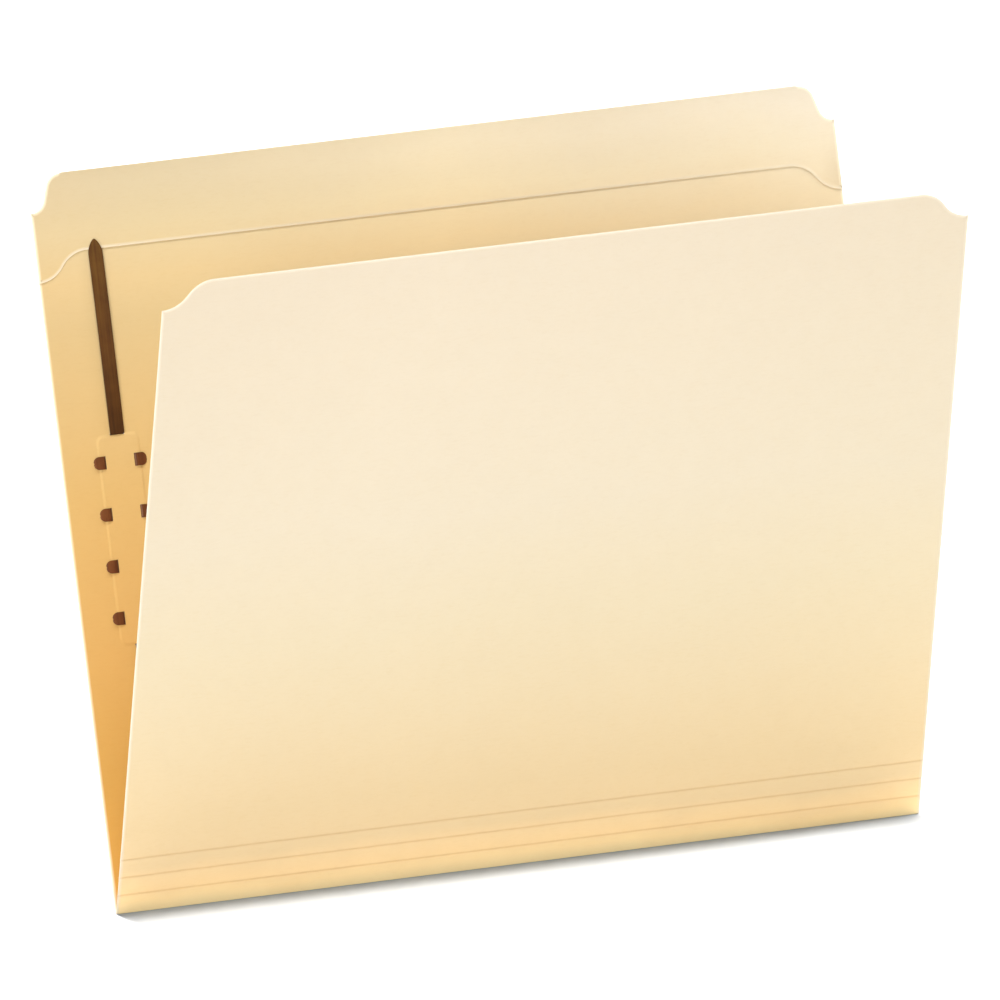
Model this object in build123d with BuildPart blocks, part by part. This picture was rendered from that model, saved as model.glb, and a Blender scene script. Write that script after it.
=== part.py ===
from build123d import *
import os
from math import atan2, cos, degrees, radians, sin, tan

os.makedirs("parts", exist_ok=True)

# All lengths are in millimetres and all angles in degrees.
# The folder stands open on its bottom fold. The fold lies along X, the front leaf leans towards -Y,
# the back leaf leans towards +Y, and the origin is the middle of the fold where it meets the table.
# On a leaf, U runs along the fold from the folder's middle and V runs up the leaf from the fold.

# Card
folder_width = 298.45
back_height = 245.0
front_height = 224.0
card_thickness = 0.28
back_lean = 15.5
front_lean = 9.25

# Bottom fold and the expansion scores of the front leaf
fold_clearance = 0.05
score_pitch = 6.35
score_count = 3
score_depth = 0.12

# Tab of the back leaf
back_tab_height = 12.5
back_notch_width = 4.1
back_tab_slant = 3.9
back_notch_radius = 5.0
back_corner_radius = 5.6

# Tab of the front leaf, whose S-shaped ends are also the lower edge of the folded-over ply
front_tab_height = 9.3
tab_curve_width = 18.5
ply_depth = 26.4

# Fastener
fastener_inset = 21.5
fastener_height = 122.2
steel_thickness = 0.25
base_width = 11.4
base_length = 64.0
base_corner_radius = 1.5
emboss_width = 15.2
emboss_corner_radius = 2.5
prong_spacing = 69.85
prong_length = 64.8
prong_width = 5.2
prong_point_length = 4.6
prong_point_width = 1.2
prong_root_radius = 0.25
tooth_rows = 4
tooth_pitch = 17.2
tooth_gap = 10.5
tooth_length = 4.3
tooth_width = 4.3
tooth_corner_radius = 1.7
steel_clearance = 0.05
prong_clearance = 0.08

# Derived places
half_width = folder_width / 2
crease_radius = card_thickness
leaf_start = crease_radius + fold_clearance
back_shoulder = back_height - back_tab_height
back_top = back_height - card_thickness
front_shoulder = front_height - front_tab_height
scores_end = score_count * score_pitch
ply_edge = back_height - ply_depth
ply_low_edge = ply_edge - front_tab_height
side_angle = degrees(atan2(back_top - back_shoulder, back_tab_slant))
corner_setback = back_corner_radius * tan(radians(side_angle / 2))
emboss_height = steel_thickness
fastener_x = fastener_inset - half_width
prong_axis_height = emboss_height + steel_thickness / 2 + prong_clearance
root_reach = prong_root_radius + steel_clearance
emboss_length = prong_spacing - 2 * root_reach
slot_reach = steel_thickness / 2 + steel_clearance

# A leaf's plane passes through the fold's axis along the leaf's inner face. The back plane's normal points
# into the folder and the front plane's normal points out of it, so that V runs up on both.
fold_axis = (0, 0, crease_radius)
back_up = (0, sin(radians(back_lean)), cos(radians(back_lean)))
back_in = (0, -cos(radians(back_lean)), sin(radians(back_lean)))
front_up = (0, -sin(radians(front_lean)), cos(radians(front_lean)))
front_out = (0, -cos(radians(front_lean)), -sin(radians(front_lean)))
back_plane = Plane(origin=fold_axis, x_dir=(1, 0, 0), z_dir=back_in)
front_plane = Plane(origin=fold_axis, x_dir=(1, 0, 0), z_dir=front_out)
# Cross section of the back leaf at the folder's middle: the first coordinate is V.
back_section = Plane(origin=fold_axis, x_dir=back_up, z_dir=(1, 0, 0))
front_up_axis = Axis(fold_axis, front_up)
front_out_axis = Axis(fold_axis, front_out)


def tab_curve(side, low, width, rise):
    # Two equal tangent arcs, level at both ends, from the leaf's edge up to the tab's straight edge.
    outer = (side * half_width, low)
    middle = (side * (half_width - width / 2), low + rise / 2)
    inner = (side * (half_width - width), low + rise)
    TangentArc(outer, middle, tangent=(-side, 0))
    TangentArc(inner, middle, tangent=(side, 0))


def back_tab_corners():
    # Outline points of the back tab, from the right shoulder over the tab to the left shoulder.
    foot = half_width - back_notch_width
    crown = foot - back_tab_slant
    right = [(half_width, back_shoulder), (foot, back_shoulder), (crown, back_top)]
    left = [(-x, y) for x, y in reversed(right)]
    return right + left


def round_back_tab(corners):
    # Hollow corners where the tab rises from the shoulders, and rounded corners at its top.
    levels = corners.group_by(Axis.Y)
    fillet(levels[-2].sort_by(Axis.X)[1:3], radius=back_notch_radius)
    fillet(levels[-1], radius=back_corner_radius)


def tooth_places():
    # Side, and middle along V, of each clinched tooth.
    first = fastener_height - (tooth_rows - 1) * tooth_pitch / 2
    rows = [first + row * tooth_pitch for row in range(tooth_rows)]
    return [(side, row) for side in (-1, 1) for row in rows]


def prong_outline(root, way):
    # Flat strip from its root line to a rounded point; way is 1 for upwards and -1 for downwards.
    half = prong_width / 2
    tip_half = prong_point_width / 2
    shoulder = prong_length - prong_point_length
    crown = prong_length - tip_half / 2
    flank = (half + tip_half) / 2 + prong_point_width / 4
    flank_rise = shoulder + 0.62 * (crown - shoulder)

    def at(across, along):
        return (fastener_x + across, root + way * along)

    Polyline(at(-half, shoulder), at(-half, 0), at(half, 0), at(half, shoulder))
    ThreePointArc(at(half, shoulder), at(flank, flank_rise), at(tip_half, crown))
    ThreePointArc(at(tip_half, crown), at(0, prong_length), at(-tip_half, crown))
    ThreePointArc(at(-tip_half, crown), at(-flank, flank_rise), at(-half, shoulder))


# Bottom fold: the rounded crease that both leaves turn about.
with BuildPart() as fold_crease:
    with BuildSketch(Plane.YZ):
        with Locations((0, crease_radius)):
            Circle(crease_radius)
    extrude(amount=half_width, both=True)
fold_crease.part.label = "fold_crease"
export_step(fold_crease.part, "parts/fold_crease.step")

# Back leaf: one ply with the tab's outline and the embossed seat of the fastener.
with BuildPart() as back_leaf:
    with BuildSketch(back_plane) as back_outline:
        with BuildLine():
            Polyline(
                (-half_width, back_shoulder),
                (-half_width, leaf_start),
                (half_width, leaf_start),
                (half_width, back_shoulder),
            )
            Polyline(*back_tab_corners())
        make_face()
        round_back_tab(back_outline.vertices())
    extrude(amount=-card_thickness)
    # Raised seat on the inside
    with BuildSketch(back_plane):
        with Locations((fastener_x, fastener_height)):
            RectangleRounded(emboss_width, emboss_length, emboss_corner_radius)
    extrude(amount=emboss_height)
    # Recess for the fastener's base on the outside
    with BuildSketch(back_plane.offset(-card_thickness)):
        with Locations((fastener_x, fastener_height)):
            RectangleRounded(
                base_width + 2 * steel_clearance,
                base_length + 2 * steel_clearance,
                base_corner_radius + steel_clearance,
            )
            Rectangle(prong_width + 2 * steel_clearance, prong_spacing + 2 * slot_reach)
    extrude(amount=steel_thickness, mode=Mode.SUBTRACT)
    # Slots for the two prongs and slits for the teeth, through the card
    with BuildSketch(back_plane.offset(-card_thickness)):
        for way in (-1, 1):
            root = fastener_height + way * prong_spacing / 2
            with Locations((fastener_x, root + way * (slot_reach - root_reach) / 2)):
                Rectangle(prong_width + 2 * steel_clearance, slot_reach + root_reach)
        for side, row in tooth_places():
            with Locations((fastener_x + side * (tooth_gap + steel_thickness) / 2, row)):
                Rectangle(steel_thickness + 2 * steel_clearance, tooth_width + 2 * steel_clearance)
    extrude(amount=card_thickness + emboss_height, mode=Mode.SUBTRACT)
back_leaf.part.label = "back_leaf"
export_step(back_leaf.part, "parts/back_leaf.step")

# Folded-over ply: the back leaf's top edge turned down inside, which makes the tab double.
with BuildPart() as tab_ply:
    with BuildSketch(back_plane) as ply_outline:
        with BuildLine():
            Line((-half_width, ply_low_edge), (-half_width, back_shoulder))
            Line((half_width, ply_low_edge), (half_width, back_shoulder))
            Polyline(*back_tab_corners())
            tab_curve(-1, ply_low_edge, tab_curve_width, front_tab_height)
            tab_curve(1, ply_low_edge, tab_curve_width, front_tab_height)
            Line((tab_curve_width - half_width, ply_edge), (half_width - tab_curve_width, ply_edge))
        make_face()
        round_back_tab(ply_outline.vertices())
    extrude(amount=card_thickness)
    # Rounded fold over the top of the back leaf, between the tab's rounded corners
    top_half = half_width - back_notch_width - back_tab_slant - corner_setback
    with BuildSketch(back_section):
        with BuildLine():
            ThreePointArc((back_top, -card_thickness), (back_height, 0), (back_top, card_thickness))
            Line((back_top, card_thickness), (back_top, -card_thickness))
        make_face()
    extrude(amount=top_half, both=True)
tab_ply.part.label = "tab_ply"
export_step(tab_ply.part, "parts/tab_ply.step")

# Score strips: the front leaf between the fold and its three pressed lines, each with a grooved outer edge.
for strip in range(score_count):
    low = max(strip * score_pitch, leaf_start)
    high = (strip + 1) * score_pitch
    with BuildPart() as score_strip:
        with BuildSketch(front_plane):
            with Locations((0, (low + high) / 2)):
                Rectangle(folder_width, high - low)
        extrude(amount=card_thickness)
        outer_edges = score_strip.edges().filter_by(Axis.X).group_by(front_out_axis)[-1].sort_by(front_up_axis)
        chamfer(outer_edges[-1] if strip == 0 else outer_edges, length=score_depth)
    score_strip.part.label = f"score_strip_{strip + 1}"
    export_step(score_strip.part, f"parts/score_strip_{strip + 1}.step")

# Front leaf: one ply from the last score up to its full-width tab.
with BuildPart() as front_leaf:
    with BuildSketch(front_plane):
        with BuildLine():
            Polyline(
                (-half_width, front_shoulder),
                (-half_width, scores_end),
                (half_width, scores_end),
                (half_width, front_shoulder),
            )
            tab_curve(-1, front_shoulder, tab_curve_width, front_tab_height)
            tab_curve(1, front_shoulder, tab_curve_width, front_tab_height)
            Line((tab_curve_width - half_width, front_height), (half_width - tab_curve_width, front_height))
        make_face()
    extrude(amount=card_thickness)
    outer_edges = front_leaf.edges().filter_by(Axis.X).group_by(front_out_axis)[-1].sort_by(front_up_axis)
    chamfer(outer_edges[0], length=score_depth)
front_leaf.part.label = "front_leaf"
export_step(front_leaf.part, "parts/front_leaf.step")

# Fastener base: a stamped steel strip, flush in the back leaf's recess, with its teeth clinched outwards inside.
with BuildPart() as fastener_base:
    with BuildSketch(back_plane.offset(-card_thickness)):
        with Locations((fastener_x, fastener_height)):
            RectangleRounded(base_width, base_length, base_corner_radius)
            Rectangle(prong_width, prong_spacing + steel_thickness)
    extrude(amount=steel_thickness)
    # Turned-up ends that pass through the slots to the prongs' roots
    with BuildSketch(back_plane.offset(steel_thickness - card_thickness)):
        for way in (-1, 1):
            with Locations((fastener_x, fastener_height + way * prong_spacing / 2)):
                Rectangle(prong_width, steel_thickness)
    extrude(amount=prong_axis_height - root_reach - steel_thickness + card_thickness)
    # Legs of the teeth through the slits
    with BuildSketch(back_plane.offset(steel_thickness - card_thickness)):
        for side, row in tooth_places():
            with Locations((fastener_x + side * (tooth_gap + steel_thickness) / 2, row)):
                Rectangle(steel_thickness, tooth_width)
    extrude(amount=card_thickness - steel_thickness + emboss_height)
    # Clinched teeth with rounded tips
    with BuildSketch(back_plane.offset(emboss_height)) as teeth:
        for side, row in tooth_places():
            with Locations((fastener_x + side * (tooth_gap + tooth_length) / 2, row)):
                Rectangle(tooth_length, tooth_width)
        tooth_middle = (tooth_gap + tooth_length) / 2
        tips = [corner for corner in teeth.vertices() if abs(corner.X - fastener_x) > tooth_middle]
        fillet(tips, radius=tooth_corner_radius)
    extrude(amount=steel_thickness)
fastener_base.part.label = "fastener_base"
export_step(fastener_base.part, "parts/fastener_base.step")

# Prongs: flat strips that turn about a rounded root at each slot.
for name, way in (("upper_prong", 1), ("lower_prong", -1)):
    root = fastener_height + way * prong_spacing / 2
    with BuildPart() as prong:
        with BuildSketch(back_plane.offset(prong_axis_height - steel_thickness / 2)):
            with BuildLine():
                prong_outline(root, way)
            make_face()
        extrude(amount=steel_thickness)
        with BuildSketch(back_section.offset(fastener_x)):
            with Locations((root, prong_axis_height)):
                Circle(prong_root_radius)
        extrude(amount=prong_width / 2, both=True)
    prong.part.label = name
    export_step(prong.part, f"parts/{name}.step")
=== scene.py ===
import math

import bmesh
import bpy
import numpy as np
from mathutils import Matrix, Vector
from mathutils.geometry import delaunay_2d_cdt


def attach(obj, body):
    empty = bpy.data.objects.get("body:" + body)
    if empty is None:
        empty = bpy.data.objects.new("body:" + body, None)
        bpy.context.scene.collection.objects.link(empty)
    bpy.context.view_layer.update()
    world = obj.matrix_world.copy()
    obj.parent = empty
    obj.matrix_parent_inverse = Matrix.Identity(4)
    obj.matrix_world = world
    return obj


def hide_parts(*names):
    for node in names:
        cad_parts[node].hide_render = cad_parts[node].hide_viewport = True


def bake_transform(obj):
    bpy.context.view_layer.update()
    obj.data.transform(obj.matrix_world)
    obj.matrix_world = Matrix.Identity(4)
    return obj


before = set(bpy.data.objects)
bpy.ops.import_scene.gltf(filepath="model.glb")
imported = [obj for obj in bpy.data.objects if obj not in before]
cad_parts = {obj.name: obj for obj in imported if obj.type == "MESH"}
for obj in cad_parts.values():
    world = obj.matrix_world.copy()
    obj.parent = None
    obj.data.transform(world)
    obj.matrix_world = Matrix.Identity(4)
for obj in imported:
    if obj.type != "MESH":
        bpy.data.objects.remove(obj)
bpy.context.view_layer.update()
scene = bpy.context.scene
mm = 0.001

folder = {
    "width": 298.45,  # along the fold, mm
    "cardThickness": 0.28,
    "frontLean": -9.25,  # degrees from upright, towards the back leaf
    "backLean": 15.5,
    "edgeRound": 0.05,  # corner of a die-cut edge
    "edgeBand": 1.1,  # strip beside a cut edge that the knife has pressed paler
    "tabCurveWidth": 18.5,  # S-shaped ends of the front tab and of the ply
    "tabCurveRise": 9.3,
}
halfWidth = folder["width"] / 2
card = folder["cardThickness"]


def leafPlace(lean):
    # u runs along the fold, v up the leaf from the fold's axis, h away from the leaf, all in mm
    turn = Matrix.Rotation(math.radians(90 - lean), 4, "X")
    return Matrix.Translation((0, 0, card * mm)) @ turn @ Matrix.Scale(mm, 4)


frontPlace = leafPlace(folder["frontLean"])  # h points out of the folder
backPlace = leafPlace(folder["backLean"])  # h points into the folder


# Node helpers

def put(tree, kind, feeds=None, **settings):
    # adds a node; each feed is a socket to link or a plain value
    node = tree.nodes.new(kind)
    for key, value in settings.items():
        setattr(node, key, value)
    for key, feed in (feeds or {}).items():
        socket = node.inputs[key]
        if isinstance(feed, bpy.types.NodeSocket):
            tree.links.new(feed, socket)
        else:
            socket.default_value = feed
    return node


def calc(tree, operation, first, second=0.0, third=0.0):
    return put(tree, "ShaderNodeMath", {0: first, 1: second, 2: third}, operation=operation).outputs[0]


def mixColour(tree, share, first, second, blendType="MIX"):
    feeds = {0: share, 6: first, 7: second}
    return put(tree, "ShaderNodeMix", feeds, data_type="RGBA", blend_type=blendType).outputs[2]


fastener = {
    "inset": 21.5,  # from the folder's left edge
    "height": 122.2,  # middle of the fastener above the fold
    "steel": 0.25,
    "baseWidth": 11.4,
    "baseLength": 64.0,
    "baseCorner": 1.5,
    "baseEdge": (0.06, 0.22),  # rounding and worn band of its edges
    "toothNotch": 0.1,  # wider than the tooth at each side
    "prongSpacing": 69.85,
    "prongWidth": 5.2,
    "rootRadius": 0.25,  # of a prong, where it leaves its slot
    "play": 0.05,  # between steel and card
}
fastenerU = fastener["inset"] - halfWidth


# Finishes

def noise(tree, place, scale, detail=3.0, rough=0.5, twist=0.0):
    node = put(tree, "ShaderNodeTexNoise", {
        "Vector": place, "Scale": scale, "Detail": detail, "Roughness": rough, "Distortion": twist})
    return node.outputs["Fac"]


def remap(tree, value, span, target=(0, 1)):
    node = put(tree, "ShaderNodeMapRange", {
        "Value": value, "From Min": span[0], "From Max": span[1], "To Min": target[0], "To Max": target[1]})
    return node.outputs["Result"]


def fromAxis(tree, place):
    # distance from the line along x
    across = put(tree, "ShaderNodeVectorMath", {0: place, 1: (0, 1, 1)}, operation="MULTIPLY").outputs[0]
    return put(tree, "ShaderNodeVectorMath", {0: across}, operation="LENGTH").outputs["Value"]


def pointMark(tree, name):
    # a value that the pieces' points carry
    return put(tree, "ShaderNodeAttribute", attribute_name=name).outputs["Fac"]


def toneRamp(tree, share, tones):
    node = put(tree, "ShaderNodeValToRGB", {"Fac": share})
    stops = node.color_ramp.elements
    stops[0].color, stops[1].color = tones[0][1], tones[-1][1]
    for level, colour in tones[1:-1]:
        stops.new(level / tones[-1][0]).color = colour
    return node.outputs["Color"]


def startFinish(name):
    material = bpy.data.materials.new(name)
    material.use_nodes = True
    tree = material.node_tree
    tree.nodes.clear()
    return material, tree, put(tree, "ShaderNodeTexCoord").outputs["Object"]


def endFinish(tree, finish, colour, rough, relief):
    bump = put(tree, "ShaderNodeBump", {
        "Height": relief, "Strength": finish["bump"], "Distance": finish["bumpDepth"]})
    shader = put(tree, "ShaderNodeBsdfPrincipled", {
        "Base Color": colour, "Roughness": rough, "Normal": bump.outputs["Normal"],
        "Metallic": finish["metallic"], "Specular IOR Level": finish["sheen"]})
    put(tree, "ShaderNodeOutputMaterial", {"Surface": shader.outputs[0]})


cardFinish = {
    "outerTonesAndPaintedLight": (  # height above the fold in mm, colour: painted light and shade, brighter and warmer towards the fold, which the lamps and the shaded floor light less
        (0, (1.000, 0.775, 0.415, 1)), (4, (1.000, 0.725, 0.365, 1)), (7, (0.915, 0.645, 0.330, 1)),
        (16, (0.720, 0.533, 0.297, 1)), (30, (0.672, 0.509, 0.291, 1)), (60, (0.645, 0.517, 0.325, 1)),
        (90, (0.620, 0.519, 0.351, 1)), (130, (0.598, 0.514, 0.381, 1)), (250, (0.556, 0.470, 0.354, 1))),
    "outerPaintedShadeAcross": (  # mm from the left edge, tint: painted shade, a little darker towards the ends, which the floor and the fill lamp light more
        (0, (0.950, 0.945, 0.935, 1)), (90, (0.990, 0.990, 0.990, 1)), (190, (0.990, 0.990, 0.985, 1)),
        (298, (0.970, 0.970, 0.955, 1))),
    # inside's colour by height above the fold in mm: painted light and shade, deep orange towards the fold
    # where the inside lies in shade, with stops that even out the front leaf's shadow
    "innerTonesAndPaintedShade": (
        (0, (0.820, 0.465, 0.106, 1)), (45, (0.728, 0.438, 0.122, 1)), (84, (0.766, 0.486, 0.178, 1)),
        (137, (0.772, 0.540, 0.236, 1)), (194, (0.770, 0.605, 0.352, 1)), (208, (0.830, 0.656, 0.396, 1)),
        (225, (0.810, 0.684, 0.468, 1)), (240, (0.742, 0.638, 0.470, 1)), (250, (0.674, 0.574, 0.421, 1))),
    "innerPaintedShadeAcross": (  # mm from the left edge, tint: painted shade across the inside, darkest at the left end, which the fill lamp lights through the folder's open end
        (0, (0.732, 0.673, 0.546, 1)), (40, (0.803, 0.768, 0.651, 1)), (150, (1.000, 1.000, 0.937, 1)),
        (298, (0.911, 0.939, 1.000, 1))),
    "cutTone": (0.690, 0.605, 0.480, 1),  # bare fibre along a cut edge
    "innerCutPaintedLight": (0.860, 0.770, 0.590, 1),  # paler on the inside: painted light that lifts the tab ply's downward cut edge out of its shade
    "cutShare": 0.85,
    "pressAndBeadShadeTone": (0.87, 0.81, 0.76, 1),  # card burnished by the scoring rule; along the folded top, painted shade on the bead's crown, which faces the top lamp
    "fibreShade": (0.80, 0.66, 0.45, 1),
    "fibreShare": 0.10,
    "fleckRange": (0.50, 0.74),  # part of the fibre noise that shows as flecks
    "mottleShare": (0.10, -0.03),  # strength and offset
    "cloudScale": 14.0,
    "drift": 0.012,  # m that the tones wander up and down the leaf
    "mottleScale": 160.0,
    "fibreScale": 1500.0,
    "grainStretch": (0.22, 1.0, 1.0),  # fibres lie mostly along the fold, the grain of the sheet
    "rough": (0.62, 0.80),
    "toothScale": 2600.0,
    "bump": 0.10,  # strength of the paper's tooth
    "bumpDepth": 0.00005,
    "fibreRelief": 0.8,  # of the fibres beside the tooth
    "metallic": 0.0,
    "sheen": 0.25,
}


def makeCardFinish():
    f = cardFinish
    material, tree, place = startFinish("manilaCard")
    drift = calc(tree, "MULTIPLY_ADD", noise(tree, place, f["cloudScale"]), f["drift"], -f["drift"] / 2)
    height = remap(tree, calc(tree, "ADD", fromAxis(tree, place), drift), (0, f["innerTonesAndPaintedShade"][-1][0] * mm))
    across = put(tree, "ShaderNodeSeparateXYZ", {0: place}).outputs["X"]
    along = remap(tree, across, (-halfWidth * mm, halfWidth * mm))
    inner = pointMark(tree, "innerFace")
    # painted light and shade: these tone ramps, by height and across each leaf, stand in for how the lamps
    # light the folder
    outerTone, innerTone = (
        mixColour(tree, 1.0, toneRamp(tree, height, f[tones]), toneRamp(tree, along, f[fade]), "MULTIPLY")
        for tones, fade in (("outerTonesAndPaintedLight", "outerPaintedShadeAcross"), ("innerTonesAndPaintedShade", "innerPaintedShadeAcross")))
    tone = mixColour(tree, inner, outerTone, innerTone)
    grain = put(tree, "ShaderNodeMapping", {"Vector": place, "Scale": f["grainStretch"]}).outputs[0]
    fibre = noise(tree, grain, f["fibreScale"], 4.0, 0.65, 0.6)
    mottle = noise(tree, place, f["mottleScale"], 5.0, 0.6)
    fibreMask = calc(tree, "MULTIPLY", remap(tree, fibre, f["fleckRange"]), f["fibreShare"])
    mottleMask = calc(tree, "MULTIPLY_ADD", mottle, *f["mottleShare"])
    shade = mixColour(tree, calc(tree, "ADD", fibreMask, mottleMask), tone, f["fibreShade"], "MULTIPLY")
    shade = mixColour(tree, pointMark(tree, "pressed"), shade, f["pressAndBeadShadeTone"], "MULTIPLY")
    cutMask = calc(tree, "MULTIPLY", pointMark(tree, "cutEdge"), f["cutShare"])
    bare = mixColour(tree, cutMask, shade, mixColour(tree, inner, f["cutTone"], f["innerCutPaintedLight"]))
    tooth = noise(tree, place, f["toothScale"])
    relief = calc(tree, "ADD", tooth, calc(tree, "MULTIPLY", fibre, f["fibreRelief"]))
    endFinish(tree, f, bare, remap(tree, mottle, (0, 1), f["rough"]), relief)
    return material


coatFinish = {
    "coat": (0.188, 0.086, 0.021, 1),
    "tintAndPaintedShade": (  # mm from the fastener's middle, tint: reddish teeth; painted shade, dark where the prongs enter their slots and darker towards the roots deep in the fold, so the points stay paler
        (0, (1.00, 0.74, 0.87, 1)), (27, (1.00, 0.74, 0.87, 1)), (33, (0.40, 0.33, 0.28, 1)),
        (65, (0.77, 0.71, 0.66, 1)), (100, (1.00, 1.00, 0.75, 1))),
    "deep": (0.101, 0.040, 0.011, 1),  # streaks left by the rolling
    # dark rims on the steel's edges, also painted as shade on the teeth's roots in their slits
    "edge": (0.060, 0.022, 0.006, 1),
    "edgeShare": 0.55,
    "streakScale": 1100.0,
    "streakStretch": (1.0, 1.0, 0.03),
    "patchScale": 220.0,
    "streakShare": 0.8,
    "patchShare": 0.35,
    "streakRange": (0.40, 0.78),  # part of their sum that goes from coat to deep
    "rough": (0.36, 0.55),
    "bump": 0.12,  # strength of the streaks
    "bumpDepth": 0.00004,
    "metallic": 0.35,
    "sheen": 0.4,
}


def makeCoatFinish():
    f = coatFinish
    material, tree, place = startFinish("fastenerCoat")
    level = put(tree, "ShaderNodeMapping", {
        "Vector": place, "Rotation": (math.radians(folder["backLean"]), 0, 0)}).outputs[0]
    rolled = put(tree, "ShaderNodeMapping", {"Vector": level, "Scale": f["streakStretch"]}).outputs[0]
    streak = noise(tree, rolled, f["streakScale"], 4.0, 0.6)
    patch = noise(tree, place, f["patchScale"])
    both = calc(tree, "ADD", calc(tree, "MULTIPLY", streak, f["streakShare"]),
                calc(tree, "MULTIPLY", patch, f["patchShare"]))
    tone = mixColour(tree, remap(tree, both, f["streakRange"]), f["coat"], f["deep"])
    middle = backPlace @ Vector((0, fastener["height"], 0))
    away = put(tree, "ShaderNodeVectorMath", {0: place, 1: (0, *middle[1:])}, operation="SUBTRACT")
    reach = calc(tree, "DIVIDE", fromAxis(tree, away.outputs[0]), f["tintAndPaintedShade"][-1][0] * mm)
    tone = mixColour(tree, 1.0, tone, toneRamp(tree, reach, f["tintAndPaintedShade"]), "MULTIPLY")
    # the cutEdge mark darkens the steel's rims and paints shade on the teeth's roots in their slits
    rimAndShadeMask = calc(tree, "MULTIPLY", pointMark(tree, "cutEdge"), f["edgeShare"])
    rim = mixColour(tree, rimAndShadeMask, tone, f["edge"])
    endFinish(tree, f, rim, remap(tree, streak, (0, 1), f["rough"]), streak)
    return material


manilaCard = makeCardFinish()
fastenerCoat = makeCoatFinish()
print("finishes made: manilaCard, fastenerCoat")


# Mesh helpers: every piece is drawn in leaf millimetres and set in place by its leaf's matrix

def finishPiece(name, mesh, place, material, sharpAngle=50):
    mesh.transform(place)
    if not mesh.materials:
        mesh.materials.append(material)
    mesh.shade_smooth()
    mesh.set_sharp_from_angle(angle=math.radians(sharpAngle))
    piece = bpy.data.objects.new(name, mesh)
    scene.collection.objects.link(piece)
    return piece


def meshFrom(bm, name):
    bmesh.ops.remove_doubles(bm, verts=bm.verts[:], dist=1e-3)
    openEdges = [edge for edge in bm.edges if edge.is_boundary]
    if openEdges:
        bmesh.ops.holes_fill(bm, edges=openEdges, sides=0)
    bmesh.ops.recalc_face_normals(bm, faces=bm.faces[:])
    mesh = bpy.data.meshes.new(name)
    bm.to_mesh(mesh)
    bm.free()
    return mesh


def addFaces(bm, points, faces, cutEdge, innerFace=None, pressed=None):
    # marks points beside a cut edge, on the folder's inside, on burnished card, and on the bead's crown,
    # where shade is painted
    plain = np.zeros(len(points))
    marks = {"cutEdge": cutEdge, "innerFace": plain if innerFace is None else innerFace,
             "pressed": plain if pressed is None else pressed}
    layers = {name: bm.verts.layers.float.get(name) or bm.verts.layers.float.new(name) for name in marks}
    verts = [bm.verts.new(point) for point in points]
    for name, values in marks.items():
        for vert, value in zip(verts, values):
            vert[layers[name]] = float(value)
    for face in faces:
        bm.faces.new([verts[index] for index in face])


def tubeFaces(rings, count):
    # closed rings of points joined in order, with a face over each end
    faces = []
    for k in range(rings - 1):
        for i in range(count):
            j = (i + 1) % count
            faces.append((k * count + i, k * count + j, (k + 1) * count + j, (k + 1) * count + i))
    last = (rings - 1) * count
    return faces + [tuple(range(count))[::-1], tuple(range(last, last + count))]


def insetLoop(loop, depth):
    # moves each side of a closed outline inwards by its own depth
    before, after = loop - np.roll(loop, 1, 0), np.roll(loop, -1, 0) - loop
    nb, na = (np.stack([-way[:, 1], way[:, 0]], 1) / np.linalg.norm(way, axis=1)[:, None]
              for way in (before, after))  # inward normals of the sides before and after each point
    db, da = np.roll(depth, 1), depth
    turn = nb[:, 0] * na[:, 1] - nb[:, 1] * na[:, 0]
    bent = np.abs(turn) > 0.02
    safe = np.where(bent, turn, 1.0)
    corner = np.stack([db * na[:, 1] - da * nb[:, 1], nb[:, 0] * da - na[:, 0] * db], 1) / safe[:, None]
    straight = (nb * db[:, None] + na * da[:, None]) / 2
    return loop + np.where(bent[:, None], corner, straight)


# an edge that meets the next piece, a die-cut edge, and an edge under a folded bead
seam, cut, fold = 0, 1, 2


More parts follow.
